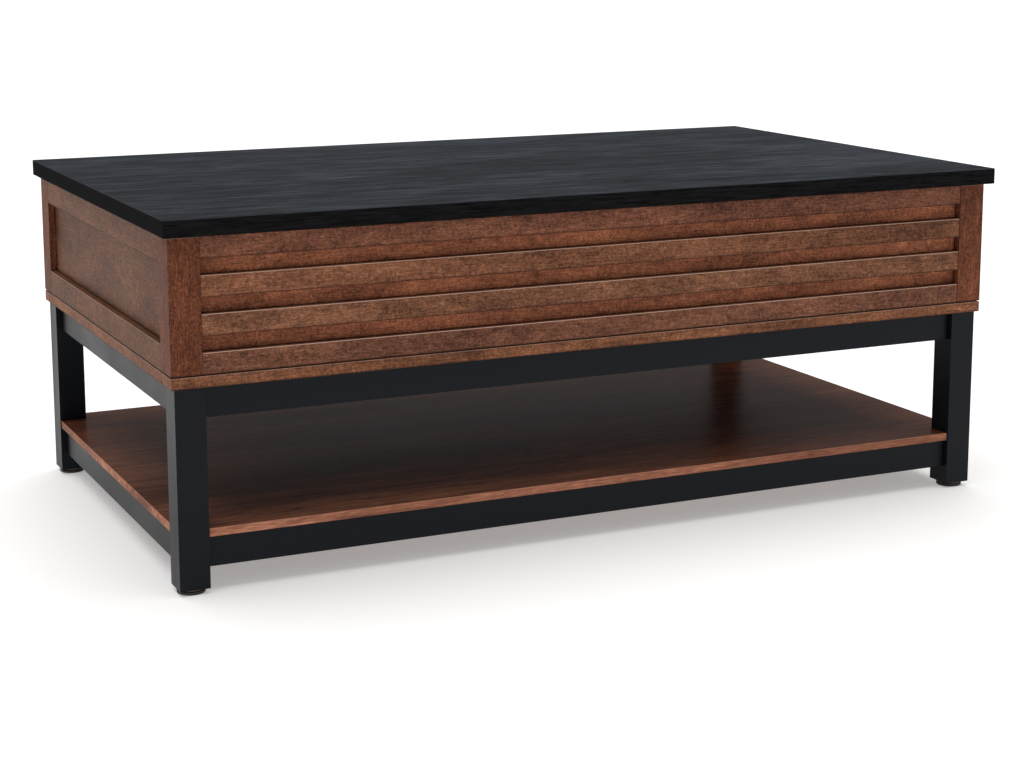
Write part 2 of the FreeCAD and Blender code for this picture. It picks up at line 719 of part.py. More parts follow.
def top_brackets():
    """Steel angles under the top: an upright flange for the pivots and a flat one for the screws."""
    low = f"{UPPER_Z} - bracket_drop"
    front = f"{FRONT_TOP_Y} - bracket_margin"
    rear = f"{REAR_TOP_Y} + bracket_margin"
    corners = [
        (front, TOP_UNDER),
        (front, f"{UPPER_Z} - bracket_drop / 2"),
        (f"{front} + bracket_drop", low),
        (f"{rear} - bracket_drop", low),
        (rear, f"{UPPER_Z} - bracket_drop / 2"),
        (rear, TOP_UNDER),
    ]
    pivots = [(FRONT_TOP_Y, UPPER_Z, "pin_radius"), (REAR_TOP_Y, UPPER_Z, "pin_radius")]
    middle = f"({FRONT_TOP_Y} + {REAR_TOP_Y}) / 2"
    screws = []
    for side, sign in SIDES.items():
        name = f"top_bracket_{side}"
        upright = sheet_body(f"{name}_upright", "YZ_Plane", corners, "plate_thick", pivots)
        put(upright, mirrored((FLANGE_IN, FLANGE_OUT), sign)[0])
        flat_x = mirrored((f"{FLANGE_OUT} - flange_width", FLANGE_OUT), sign)
        flat = board(f"{name}_flat", flat_x, (front, rear), (f"{TOP_UNDER} - plate_thick", TOP_UNDER))
        cutters = []
        for y in (FRONT_TOP_Y, middle, REAR_TOP_Y):
            for made in (screws, cutters):
                head = cone("head", "screw_head_radius", "screw_radius", "screw_head_depth")
                screw = join("screw", [head, rod("shank", "screw_radius", "screw_length")])
                x = f"{sign} * ({FLANGE_OUT} - flange_width / 2 - plate_thick)"
                made.append(put(screw, x, y, f"{TOP_UNDER} - plate_thick"))
        node(carve(name, join(f"{name}_blank", [upright, flat]), cutters), name)
    node(group("top_bracket_screws", screws), "top_bracket_screws")


def upper_pins():
    """Headed pivot pins fixed in the top brackets: heads outside the front arms, inside the rear."""
    pins = []
    for sign in SIDES.values():
        front_face = f"({FRONT_ARM_OUT} + face_gap)"
        shaft_x = mirrored((FLANGE_IN, front_face), sign)
        head_x = mirrored((front_face, f"{front_face} + pin_head_thick"), sign)
        shaft = cross_rod("front_shaft", "pin_radius", shaft_x, FRONT_TOP_Y, UPPER_Z)
        head = cross_rod("front_head", "pin_head_radius", head_x, FRONT_TOP_Y, UPPER_Z)
        pins.append(join("front_pin", [shaft, head]))
        rear_face = f"({REAR_ARM_IN} - face_gap)"
        shaft_x = mirrored((rear_face, FLANGE_OUT), sign)
        head_x = mirrored((f"{rear_face} - pin_head_thick", rear_face), sign)
        shaft = cross_rod("rear_shaft", "pin_radius", shaft_x, REAR_TOP_Y, UPPER_Z)
        head = cross_rod("rear_head", "pin_head_radius", head_x, REAR_TOP_Y, UPPER_Z)
        pins.append(join("rear_pin", [shaft, head]))
    node(group("upper_pivot_pins", pins), "upper_pivot_pins")


def check(thing):
    """Stop at the first object that is broken or empty."""
    states = set(thing.State)
    if states & {"Invalid", "Error"}:
        raise RuntimeError(f"{thing.Name} {thing.Label} is {thing.State}")
    shape = getattr(thing, "Shape", None)
    if shape is not None and (shape.isNull() or not shape.isValid()):
        raise RuntimeError(f"{thing.Name} {thing.Label} has no valid shape")


legs()
rails("lower", "lower_rail_bottom")
rails("upper", f"({LEG_TOP} - rail_height)")
shelf()
corner_blocks()
feet()
base_frame()
storage_floor()
corner_posts()
slatted_walls()
side_walls()
rim_bumpers()
base_brackets()
lower_pins()
lift_springs()
lift_arms()
top_panel()
top_brackets()
upper_pins()
doc.recompute()

for piece in NODES:
    check(piece)
os.makedirs("parts", exist_ok=True)
for piece in NODES:
    piece.Shape.exportStep(f"parts/{piece.Label}.step")
    print(piece.Label, len(piece.Shape.Solids), round(piece.Shape.Volume))
print(len(NODES), "nodes")
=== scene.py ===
import json
import math

import bpy
from mathutils import Matrix, Vector


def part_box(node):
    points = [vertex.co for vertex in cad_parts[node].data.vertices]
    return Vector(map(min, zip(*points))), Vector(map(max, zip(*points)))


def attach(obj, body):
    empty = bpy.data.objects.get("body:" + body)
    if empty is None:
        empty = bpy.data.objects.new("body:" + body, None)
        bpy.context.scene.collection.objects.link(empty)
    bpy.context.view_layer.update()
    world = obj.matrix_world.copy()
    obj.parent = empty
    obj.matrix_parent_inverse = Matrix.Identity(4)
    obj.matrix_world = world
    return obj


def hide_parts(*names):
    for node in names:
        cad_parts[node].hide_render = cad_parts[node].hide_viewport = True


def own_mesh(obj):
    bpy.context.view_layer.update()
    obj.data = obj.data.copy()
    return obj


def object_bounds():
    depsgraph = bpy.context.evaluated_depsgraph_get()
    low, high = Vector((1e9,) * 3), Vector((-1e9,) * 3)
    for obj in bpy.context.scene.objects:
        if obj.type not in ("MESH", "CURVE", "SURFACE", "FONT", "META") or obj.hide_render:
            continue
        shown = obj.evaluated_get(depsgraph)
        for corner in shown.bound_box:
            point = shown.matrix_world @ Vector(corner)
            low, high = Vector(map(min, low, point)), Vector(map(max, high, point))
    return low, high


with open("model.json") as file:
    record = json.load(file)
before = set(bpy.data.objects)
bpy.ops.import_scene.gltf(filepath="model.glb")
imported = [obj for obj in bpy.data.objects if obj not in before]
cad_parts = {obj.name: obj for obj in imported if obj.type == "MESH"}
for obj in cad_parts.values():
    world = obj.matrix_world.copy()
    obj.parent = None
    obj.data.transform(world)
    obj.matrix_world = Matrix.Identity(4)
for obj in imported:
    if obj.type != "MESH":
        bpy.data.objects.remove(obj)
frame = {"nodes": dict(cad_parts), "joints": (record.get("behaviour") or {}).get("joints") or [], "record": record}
CAD_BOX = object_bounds()

MM = 0.001
# Points nearer to each other than this are the same point.
SAME_POINT = 0.01 * MM
RECORD_SLOTS = {part["node"]: part["material_slot"] for part in frame["record"]["subparts"]}


# ---------------------------------------------------------------- shader helpers

def linear(red, green, blue):
    """A display colour in 0-255 steps as linear RGBA."""
    channels = []
    for channel in (red, green, blue):
        share = channel / 255
        channels.append(share / 12.92 if share <= 0.04045 else ((share + 0.055) / 1.055) ** 2.4)
    return (*channels, 1.0)


def new_material(name):
    """An empty node material with its Principled shader."""
    material = bpy.data.materials.new(name)
    material.use_nodes = True
    tree = material.node_tree
    return material, tree, tree.nodes["Principled BSDF"]


def add(tree, kind, settings=None, inputs=None):
    """A node with its settings, and inputs that are numbers, colours or other nodes' sockets."""
    made = tree.nodes.new(kind)
    for key, value in (settings or {}).items():
        setattr(made, key, value)
    for key, value in (inputs or {}).items():
        if isinstance(value, bpy.types.NodeSocket):
            tree.links.new(value, made.inputs[key])
        else:
            made.inputs[key].default_value = value
    return made


def noise(tree, space, along, across, detail=3.0, roughness=0.55, distortion=0.0):
    """Noise from nought to one, with its own frequency along and across the grain, per metre."""
    spread = add(
        tree, "ShaderNodeVectorMath", {"operation": "MULTIPLY"}, {0: space, 1: (along, across, across)}
    )
    made = add(
        tree,
        "ShaderNodeTexNoise",
        {"noise_dimensions": "3D"},
        {
            "Vector": spread.outputs["Vector"],
            "Scale": 1.0,
            "Detail": detail,
            "Roughness": roughness,
            "Distortion": distortion,
        },
    )
    return made.outputs["Fac"]


def stretch(tree, value, low, high, to_low=0.0, to_high=1.0):
    """The part of a value between low and high, spread over a new range."""
    made = add(
        tree,
        "ShaderNodeMapRange",
        {"clamp": True},
        {"Value": value, "From Min": low, "From Max": high, "To Min": to_low, "To Max": to_high},
    )
    return made.outputs["Result"]


def arithmetic(tree, operation, first, second):
    """One operation on two sockets or numbers."""
    made = add(tree, "ShaderNodeMath", {"operation": operation}, {0: first, 1: second})
    return made.outputs["Value"]


# Most of a noise's values lie between these.
NOISE_LOW = 0.3
NOISE_HIGH = 0.7


def varied(tree, texture, low, high):
    """A roughness that follows a noise from one value to another."""
    return stretch(tree, texture, NOISE_LOW, NOISE_HIGH, low, high)


def weighted(tree, parts):
    """The sum of sockets, each times its weight."""
    total = None
    for socket, weight in parts:
        share = arithmetic(tree, "MULTIPLY", socket, weight)
        total = share if total is None else arithmetic(tree, "ADD", total, share)
    return total


def colour_ramp(tree, value, stops):
    """Colours spread along a value: stops are (place, colour) from low to high."""
    ramp = add(tree, "ShaderNodeValToRGB", None, {"Fac": value})
    elements = ramp.color_ramp.elements
    while len(elements) < len(stops):
        elements.new(0.5)
    for element, (place, colour) in zip(elements, stops):
        element.position = place
        element.color = colour
    return ramp.outputs["Color"]


def mix_colour(tree, share, first, second, blend="MIX"):
    """The first colour, with a share of the second mixed in."""
    made = add(tree, "ShaderNodeMix", {"data_type": "RGBA", "blend_type": blend})
    for index, value in ((0, share), (6, first), (7, second)):
        if isinstance(value, bpy.types.NodeSocket):
            tree.links.new(value, made.inputs[index])
        else:
            made.inputs[index].default_value = value
    return made.outputs[2]


def bump(tree, height, strength, depth):
    """A surface normal tilted by a height socket."""
    made = add(tree, "ShaderNodeBump", None, {"Height": height, "Strength": strength, "Distance": depth})
    return made.outputs["Normal"]


def connect(tree, shader, colour, roughness, normal):
    """Link what the nodes work out to the shader."""
    tree.links.new(colour, shader.inputs["Base Color"])
    tree.links.new(roughness, shader.inputs["Roughness"])
    tree.links.new(normal, shader.inputs["Normal"])


BEVEL_SAMPLES = 4
OCCLUSION_SAMPLES = 8


def edge_share(tree, radius):
    """One at a piece's arrises and nought on its flats, from how a bevel would turn the surface."""
    bevel = add(tree, "ShaderNodeBevel", {"samples": BEVEL_SAMPLES}, {"Radius": radius})
    geometry = add(tree, "ShaderNodeNewGeometry")
    facing = add(
        tree,
        "ShaderNodeVectorMath",
        {"operation": "DOT_PRODUCT"},
        {0: bevel.outputs["Normal"], 1: geometry.outputs["Normal"]},
    )
    return stretch(tree, facing.outputs["Value"], 0.995, 0.86)


def upward_share(tree):
    """One where a surface faces up, half where it stands upright and nought where it faces down."""
    normal = add(tree, "ShaderNodeNewGeometry").outputs["Normal"]
    height = add(tree, "ShaderNodeSeparateXYZ", None, {"Vector": normal}).outputs["Z"]
    return stretch(tree, height, -1.0, 1.0)


def crevice_share(tree, reach, open_level, closed_level):
    """One in joints and inner corners, nought in the open."""
    occlusion = add(
        tree,
        "ShaderNodeAmbientOcclusion",
        {"samples": OCCLUSION_SAMPLES, "only_local": False},
        {"Distance": reach},
    )
    return stretch(tree, occlusion.outputs["AO"], open_level, closed_level)


# How much open surroundings count as open and as closed, in a wide corner and in a tight joint.
CORNER_LEVELS = (0.75, 0.3)
JOINT_LEVELS = (0.96, 0.7)
JOINT_REACH = 1.5 * MM
JOINT_STRENGTH = 0.9


def darken_joints_and_shade_corners(tree, colour, reach, strength, dark):
    """Darker in a board's tight joints, with a softer painted shade in its wider corners, both where the
    surroundings close in.
    """
    # Painted shade in the wider corners.
    corner = arithmetic(tree, "MULTIPLY", crevice_share(tree, reach, *CORNER_LEVELS), strength)
    colour = mix_colour(tree, corner, colour, dark)
    joint = arithmetic(tree, "MULTIPLY", crevice_share(tree, JOINT_REACH, *JOINT_LEVELS), JOINT_STRENGTH)
    return mix_colour(tree, joint, colour, dark)


def highlight_and_rub_arrises(tree, colour, radius, strength, pale):
    """Arrises rubbed a little paler all round, with a painted highlight where they face up and on the eased faces
    on them.
    """
    facing = upward_share(tree)
    upward = stretch(tree, facing, 0.5, 0.8, 0.08, 1.0)
    # The painted highlight line: one on eased faces, which lie between upright and level, and nought on both of
    # those.
    not_upright = stretch(tree, facing, 0.6, 0.68)
    not_level = stretch(tree, facing, 0.995, 0.97)
    chamfer = arithmetic(tree, "MULTIPLY", not_upright, not_level)
    # Pale where the arrises are rubbed, strongest where they face up as a painted highlight, and the painted
    # highlight on the eased faces.
    rubbed = arithmetic(tree, "MULTIPLY", edge_share(tree, radius), upward)
    rubbed = arithmetic(tree, "MAXIMUM", rubbed, chamfer)
    return mix_colour(tree, arithmetic(tree, "MULTIPLY", rubbed, strength), colour, pale)


# How far down the eased normal points where the painted shade on a lower arris begins, and is darkest.
UNDER_START = -0.06
UNDER_FULL = -0.2


def shade_undersides(tree, colour, radius, strength, dark):
    """Lower arrises painted darker, as the shade that falls under them."""
    turned = add(tree, "ShaderNodeBevel", {"samples": BEVEL_SAMPLES}, {"Radius": radius}).outputs["Normal"]
    height = add(tree, "ShaderNodeSeparateXYZ", None, {"Vector": turned}).outputs["Z"]
    under = stretch(tree, height, UNDER_START, UNDER_FULL, 0.0, strength)
    return mix_colour(tree, under, colour, dark)


# Turns that bring each grain direction onto the texture's X axis.
GRAIN_TURNS = {
    "X": (0.0, 0.0, 0.0),
    "Y": (0.0, 0.0, -math.pi / 2),
    "Z": (0.0, math.pi / 2, 0.0),
}


def grain_space(tree, axis, offset):
    """Object coordinates turned so that X runs along the grain, moved on so that boards differ."""
    place = add(tree, "ShaderNodeTexCoord").outputs["Object"]
    made = add(
        tree,
        "ShaderNodeMapping",
        {"vector_type": "POINT"},
        {"Vector": place, "Rotation": GRAIN_TURNS[axis], "Location": offset},
    )
    return made.outputs["Vector"]


# ---------------------------------------------------------------- materials

# How far from an arris each finish is rubbed paler and given its painted highlight.
STAIN_ARRIS_REACH = 1.2 * MM
PAINT_ARRIS_REACH = 1.0 * MM
COATING_ARRIS_REACH = 0.8 * MM
# How much paler the shelf's upright edges are painted than its face, as painted light, in red, green and blue.
SHELF_EDGE_LIGHT_GAIN = (2.6, 3.0, 3.4, 1.0)


def stained_wood(name, axis, offset, tint, arris_highlight_and_rub):
    """Brown stained hardwood: blotches, curled figure, straight fibres, a speckle and short pores."""
    material, tree, shader = new_material(name)
    space = grain_space(tree, axis, offset)
    tone = noise(tree, space, along=6, across=15, detail=2, distortion=0.4)
    mottle = noise(tree, space, along=20, across=48, detail=4, roughness=0.62, distortion=1.3)
    curl = noise(tree, space, along=110, across=70, detail=3, roughness=0.6, distortion=2.6)
    figure = stretch(tree, weighted(tree, [(tone, 0.3), (mottle, 0.3), (curl, 0.4)]), 0.36, 0.64)
    fibre = stretch(tree, noise(tree, space, along=40, across=620, detail=3, distortion=0.6), 0.34, 0.66)
    speckle = noise(tree, space, along=240, across=800, detail=2, roughness=0.6, distortion=0.6)
    speckle = stretch(tree, speckle, 0.36, 0.64)
    pores = stretch(tree, noise(tree, space, along=220, across=1500, detail=2), 0.61, 0.69)
    colour = colour_ramp(
        tree,
        weighted(tree, [(figure, 0.5), (fibre, 0.22), (speckle, 0.28)]),
        [
            (0.0, linear(48, 27, 20)),
            (0.3, linear(100, 62, 46)),
            (0.55, linear(138, 89, 66)),
            (0.8, linear(176, 117, 87)),
            (1.0, linear(216, 152, 118)),
        ],
    )
    colour = mix_colour(tree, 1.0, colour, tint, "MULTIPLY")
    colour = mix_colour(tree, arithmetic(tree, "MULTIPLY", pores, 0.55), colour, linear(44, 26, 20))
    # Painted highlight on the upper arrises, painted shade under the lower arrises and in the wider corners, and
    # darker joints.
    colour = highlight_and_rub_arrises(tree, colour, STAIN_ARRIS_REACH, strength=arris_highlight_and_rub, pale=linear(214, 178, 160))
    colour = shade_undersides(tree, colour, radius=3 * MM, strength=0.85, dark=linear(50, 27, 18))
    colour = darken_joints_and_shade_corners(tree, colour, reach=5 * MM, strength=0.1, dark=linear(40, 19, 13))
    height = weighted(tree, [(speckle, 0.3), (fibre, 0.3), (pores, -1.0)])
    normal = bump(tree, height, strength=0.3, depth=0.2 * MM)
    connect(tree, shader, colour, varied(tree, mottle, 0.48, 0.6), normal)
    shader.inputs["Specular IOR Level"].default_value = 0.08
    return material


def shelf_wood(name, offset):
    """The shelf's smoother face in long straight figure, with upright edges painted paler as painted light."""
    material, tree, shader = new_material(name)
    space = grain_space(tree, "X", offset)
    tone = noise(tree, space, along=1.6, across=9, detail=3, distortion=0.5)
    streak = noise(tree, space, along=7, across=80, detail=5, roughness=0.65, distortion=1.0)
    fibre = stretch(tree, noise(tree, space, along=60, across=700, detail=3), 0.36, 0.64)
    figure = stretch(tree, weighted(tree, [(tone, 0.45), (streak, 0.55)]), 0.38, 0.62)
    colour = colour_ramp(
        tree,
        weighted(tree, [(figure, 0.68), (fibre, 0.32)]),
        [
            (0.0, linear(62, 36, 26)),
            (0.5, linear(98, 58, 42)),
            (1.0, linear(140, 90, 66)),
        ],
    )
    # Painted light: the upright edges made paler than the face.
    facing = upward_share(tree)
    not_top = stretch(tree, facing, 0.9, 0.6)
    not_underside = stretch(tree, facing, 0.1, 0.4)
    upright = arithmetic(tree, "MULTIPLY", not_top, not_underside)
    edge_shading_colour = mix_colour(tree, 1.0, colour, SHELF_EDGE_LIGHT_GAIN, "MULTIPLY")
    colour = mix_colour(tree, upright, colour, edge_shading_colour)
    # Painted highlight, with rubbing, on the upper arrises.
    colour = highlight_and_rub_arrises(tree, colour, STAIN_ARRIS_REACH, strength=0.6, pale=linear(196, 140, 112))
    normal = bump(tree, fibre, strength=0.1, depth=0.06 * MM)
    connect(tree, shader, colour, varied(tree, streak, 0.26, 0.34), normal)
    shader.inputs["Specular IOR Level"].default_value = 0.006
    return material


def black_wood(name):
    """Black stained open grain wood: long streaks over a slow wander, and fine open pores."""
    material, tree, shader = new_material(name)
    space = grain_space(tree, "X", (3.1, 1.7, 0.0))
    wander = noise(tree, space, along=2.6, across=8, detail=3, distortion=0.8)
    streak = noise(tree, space, along=9, across=85, detail=6, roughness=0.7, distortion=0.5)
    fibre = noise(tree, space, along=22, across=420, detail=4, roughness=0.7, distortion=0.3)
    pores = stretch(tree, noise(tree, space, along=40, across=800, detail=3), 0.55, 0.66)
    shade = stretch(tree, weighted(tree, [(wander, 0.22), (streak, 0.58), (fibre, 0.2)]), 0.38, 0.62)
    colour = colour_ramp(
        tree,
        shade,
        [
            (0.0, linear(10, 11, 13)),
            (0.5, linear(28, 31, 37)),
            (1.0, linear(53, 58, 67)),
        ],
    )
    # Painted shade: the upright edges darker and more neutral than the face.
    upright = stretch(tree, upward_share(tree), 0.9, 0.6)
    threads = stretch(tree, fibre, 0.35, 0.65)
    edge_shading_colour = mix_colour(tree, threads, linear(14, 14, 15), linear(30, 30, 32))
    colour = mix_colour(tree, upright, colour, edge_shading_colour)
    colour = mix_colour(tree, arithmetic(tree, "MULTIPLY", pores, 0.7), colour, linear(6, 6, 7))
    # Painted highlight, with a little rubbing, on the upper arrises.
    colour = highlight_and_rub_arrises(tree, colour, STAIN_ARRIS_REACH, strength=0.35, pale=linear(80, 83, 88))
    roughness = arithmetic(tree, "MAXIMUM", stretch(tree, shade, 0.0, 1.0, 0.65, 0.5), upright)
    height = weighted(tree, [(streak, 0.6), (fibre, 0.6), (pores, -1.0)])
    connect(tree, shader, colour, roughness, bump(tree, height, strength=0.4, depth=0.3 * MM))
    shader.inputs["Specular IOR Level"].default_value = 0.03
    return material


def painted_wood(name, axis, offset):
    """Smooth satin black paint: a trace of the wood's fibres, rubbed arrises with a painted highlight, darker
    joints and painted shade in the corners.
    """
    material, tree, shader = new_material(name)
    space = grain_space(tree, axis, offset)
    cloud = noise(tree, space, along=6, across=14, detail=3)
    fibre = noise(tree, space, along=20, across=260, detail=4, roughness=0.6)
    peel = noise(tree, space, along=420, across=420, detail=2)
    colour = mix_colour(tree, cloud, linear(11, 14, 19), linear(17, 22, 29))
    colour = highlight_and_rub_arrises(tree, colour, PAINT_ARRIS_REACH, strength=0.3, pale=linear(70, 74, 80))
    # Darker joints, and painted shade in the corners between rails and legs.
    colour = darken_joints_and_shade_corners(tree, colour, reach=8 * MM, strength=0.5, dark=linear(4, 5, 6))
    height = weighted(tree, [(fibre, 0.4), (peel, 0.35)])
    normal = bump(tree, height, strength=0.12, depth=0.1 * MM)
    connect(tree, shader, colour, varied(tree, cloud, 0.36, 0.46), normal)
    shader.inputs["Specular IOR Level"].default_value = 0.14
    return material


def sawn_wood(name):
    """Pale unfinished wood for the hidden blocks."""
    material, tree, shader = new_material(name)
    space = grain_space(tree, "X", (0.4, 0.9, 0.2))
    streak = noise(tree, space, along=8, across=120, detail=5, distortion=0.5)
    fibre = noise(tree, space, along=60, across=900, detail=3)
    blend = weighted(tree, [(streak, 0.7), (fibre, 0.3)])
    colour = colour_ramp(
        tree,
        stretch(tree, blend, 0.35, 0.65),
        [(0.0, linear(146, 112, 74)), (0.5, linear(180, 144, 100)), (1.0, linear(204, 172, 126))],
    )
    normal = bump(tree, fibre, strength=0.4, depth=0.3 * MM)
    connect(tree, shader, colour, varied(tree, streak, 0.7, 0.85), normal)
    return material


def coated_steel(name):
    """Black powder coat: a fine pebbled skin, rubbed thin on the edges, with a painted highlight on the upper
    arrises.
    """
    material, tree, shader = new_material(name)
    space = add(tree, "ShaderNodeTexCoord").outputs["Object"]
    pebble = noise(tree, space, along=1500, across=1500, detail=2)
    cloud = noise(tree, space, along=25, across=25, detail=3)
    colour = mix_colour(tree, cloud, linear(20, 21, 23), linear(36, 37, 40))
    colour = highlight_and_rub_arrises(tree, colour, COATING_ARRIS_REACH, strength=0.4, pale=linear(96, 96, 98))
    normal = bump(tree, pebble, strength=0.3, depth=0.08 * MM)
    connect(tree, shader, colour, varied(tree, cloud, 0.42, 0.55), normal)
    return material


def bare_metal(name, dark, light, low_roughness, high_roughness):
    """Plated metal with faint tarnish and drawing marks."""
    material, tree, shader = new_material(name)
    space = add(tree, "ShaderNodeTexCoord").outputs["Object"]
    cloud = noise(tree, space, along=60, across=60, detail=4)
    marks = noise(tree, space, along=2500, across=300, detail=2)
    colour = mix_colour(tree, cloud, dark, light)
    roughness = varied(tree, cloud, low_roughness, high_roughness)
    connect(tree, shader, colour, roughness, bump(tree, marks, strength=0.1, depth=0.05 * MM))
    shader.inputs["Metallic"].default_value = 1.0
    return material


def moulded(name, dark, light, low_roughness, high_roughness):
    """Moulded plastic or rubber with a fine matt texture."""
    material, tree, shader = new_material(name)
    space = add(tree, "ShaderNodeTexCoord").outputs["Object"]
    cloud = noise(tree, space, along=90, across=90, detail=3)
    texture = noise(tree, space, along=1800, across=1800, detail=2)
    colour = mix_colour(tree, cloud, dark, light)
    normal = bump(tree, texture, strength=0.25, depth=0.08 * MM)
    connect(tree, shader, colour, varied(tree, cloud, low_roughness, high_roughness), normal)
    return material


FLOOR_GLOW_TINT = (1.0, 0.985, 0.97, 1.0)
FLOOR_GLOW = 0.32


def studio_floor(name):
    """Pale seamless floor, lit a little from within like a light table, so that shadows stay soft."""
    material, tree, shader = new_material(name)
    space = add(tree, "ShaderNodeTexCoord").outputs["Object"]
    cloud = noise(tree, space, along=0.6, across=0.6, detail=2)
    colour = mix_colour(tree, cloud, linear(232, 231, 230), linear(238, 238, 238))
    tree.links.new(colour, shader.inputs["Base Color"])
    tree.links.new(varied(tree, cloud, 0.7, 0.8), shader.inputs["Roughness"])
    shader.inputs["Specular IOR Level"].default_value = 0.2
    shader.inputs["Emission Color"].default_value = FLOOR_GLOW_TINT
    shader.inputs["Emission Strength"].default_value = FLOOR_GLOW
    return material


# ---------------------------------------------------------------- pieces

# Uneven steps give each board its own stretch of wood without any random draw.
BOARD_STEP = (0.618, 0.382, 0.271)
BOARD_SPREAD = 10


def board_offset(index):
    """Where a board's wood is cut from, in metres."""
    return tuple(BOARD_SPREAD * ((index * step) % 1.0) for step in BOARD_STEP)


def grain_axis(name):
    """The way a board's grain runs: along its longest side."""
    low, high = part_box(name)
    size = high - low
    return "XYZ"[max(range(3), key=lambda axis: size[axis])]


# How each kind of board leans away from the common stain: a display colour that multiplies it.
# Above 255 it lightens.
COMMON_TINT = (236, 236, 236)
POST_TINT = (212, 194, 184)
SIDE_TINT = (208, 216, 214)
BASE_TINT = (244, 246, 236)
BOARD_TINTS = {
    "front_slat_1": (218, 221, 227),
    "front_slat_2": (236, 244, 242),
    "front_slat_3": (232, 234, 230),
    "front_slat_4": (230, 228, 234),
    # The backboards in the recesses are lightened above 255 as painted light, against the shade that falls in the
    # recesses.
    "front_backboard": (268, 252, 240),
    "rear_backboard": (268, 252, 240),
}


def board_tint(name):
    """A board's tint as a linear colour."""
    if name.startswith("corner_post"):
        tint = POST_TINT
    elif name.startswith("base_frame"):
        tint = BASE_TINT
    elif name.startswith("side_"):
        tint = SIDE_TINT
    else:
        tint = BOARD_TINTS.get(name, COMMON_TINT)
    return linear(*tint)


def board_highlight_and_rub(name):
    """How strong the painted highlight and rubbing on a board's upper arrises are: most on the open slats, none on
    the slat in shade close under the top.
    """
    if name.endswith("slat_4"):
        return 0.0
    return 0.85 if "slat" in name else 0.3


def dress(name, material):
    """Give a CAD node its one material."""
    mesh = frame["nodes"][name].data
    mesh.materials.clear()
    mesh.materials.append(material)


# How far the sharp edges of each kind of piece are eased.
BOARD_EASE = 0.9 * MM
SHELF_EASE = 0.8 * MM
PAINTED_EASE = 0.8 * MM
BLOCK_EASE = 0.5 * MM
METAL_EASE = 0.5 * MM
PIN_EASE = 0.7 * MM
# An edge that turns by more than this many degrees is sharp.
SHARP_ANGLE = 40


def soften(name, width, segments=2):
    """Ease a CAD node's sharp edges with modifiers."""
    piece = frame["nodes"][name]
    weld = piece.modifiers.new("Weld", "WELD")
    weld.merge_threshold = SAME_POINT
    bevel = piece.modifiers.new("Ease", "BEVEL")
    bevel.width = width
    bevel.segments = segments
    bevel.limit_method = "ANGLE"
    bevel.angle_limit = math.radians(SHARP_ANGLE)
    bevel.use_clamp_overlap = True


def dress_boards():
    """Stain, paint and ease every wooden board of the frame and the case."""
    names = sorted(RECORD_SLOTS)
    for index, name in enumerate(names):
        slot = RECORD_SLOTS[name]
        offset = board_offset(index)
        if name == "shelf":
            dress(name, shelf_wood("shelf_wood", offset))
            soften(name, SHELF_EASE)
        elif slot == "case_wood":
            tint, arris_highlight_and_rub = board_tint(name), board_highlight_and_rub(name)
            dress(name, stained_wood(f"case_wood_{name}", grain_axis(name), offset, tint, arris_highlight_and_rub))
            soften(name, BOARD_EASE)
        elif slot == "black_paint":
            dress(name, painted_wood(f"black_paint_{name}", grain_axis(name), offset))
            soften(name, PAINTED_EASE)


def dress_rest():
    """Materials of the top, the hidden blocks, the metal and the plastic."""
    shared = {
        "top_wood": black_wood("top_wood"),
        "plain_wood": sawn_wood("plain_wood"),
        "foot_plastic": moulded("foot_plastic", linear(18, 18, 18), linear(34, 33, 32), 0.45, 0.57),
        "bumper_rubber": moulded("bumper_rubber", linear(30, 30, 30), linear(48, 48, 47), 0.7, 0.82),
        "bronze": bare_metal("bronze", linear(84, 62, 50), linear(124, 96, 80), 0.4, 0.55),
        "black_steel": coated_steel("black_steel"),
        "bright_steel": bare_metal("bright_steel", linear(150, 150, 148), linear(190, 190, 192), 0.28, 0.4),
        "spring_steel": bare_metal("spring_steel", linear(120, 120, 122), linear(170, 170, 172), 0.25, 0.38),
    }
    for name, slot in RECORD_SLOTS.items():
        if slot in shared:
            dress(name, shared[slot])
    soften("corner_blocks", BLOCK_EASE)


# ---------------------------------------------------------------- springs

JOINTS = {joint["name"]: joint for joint in frame["joints"]}
LIFT_PIVOT = Vector(JOINTS["lift"]["pos_m"])
LIFT_SWING = math.radians(JOINTS["lift"]["range_deg"][1])
ARM = Vector(JOINTS["top_level"]["pos_m"]) - LIFT_PIVOT
ACROSS = Vector((1, 0, 0))

# The springs, as the CAD places them: the arms' tails, the length at rest and the share kept open.
TAIL_REACH = 40 * MM
SPRING_LENGTH = 200 * MM
# The wire's own radii and turns, and how finely it is made.
WIRE = 1.25 * MM
COIL = 8 * MM - WIRE
EYE = 5.5 * MM
HOOK = 14 * MM
COIL_TURNS = 40
COIL_STEPS = 18
EYE_STEPS = 32
SHANK_SHARES = (0.0, 0.25, 0.5, 0.75)
WIRE_SIDES = 8


def spring_line():
    """The springs' fixed end and their direction from there to the tail pins, at rest."""
    closed = math.atan2(ARM.z, ARM.y)
    turn = closed + LIFT_SWING / 2
    direction = Vector((0, -math.sin(turn), math.cos(turn)))
    tail = LIFT_PIVOT - ARM.normalized() * TAIL_REACH
    return tail - direction * SPRING_LENGTH, direction


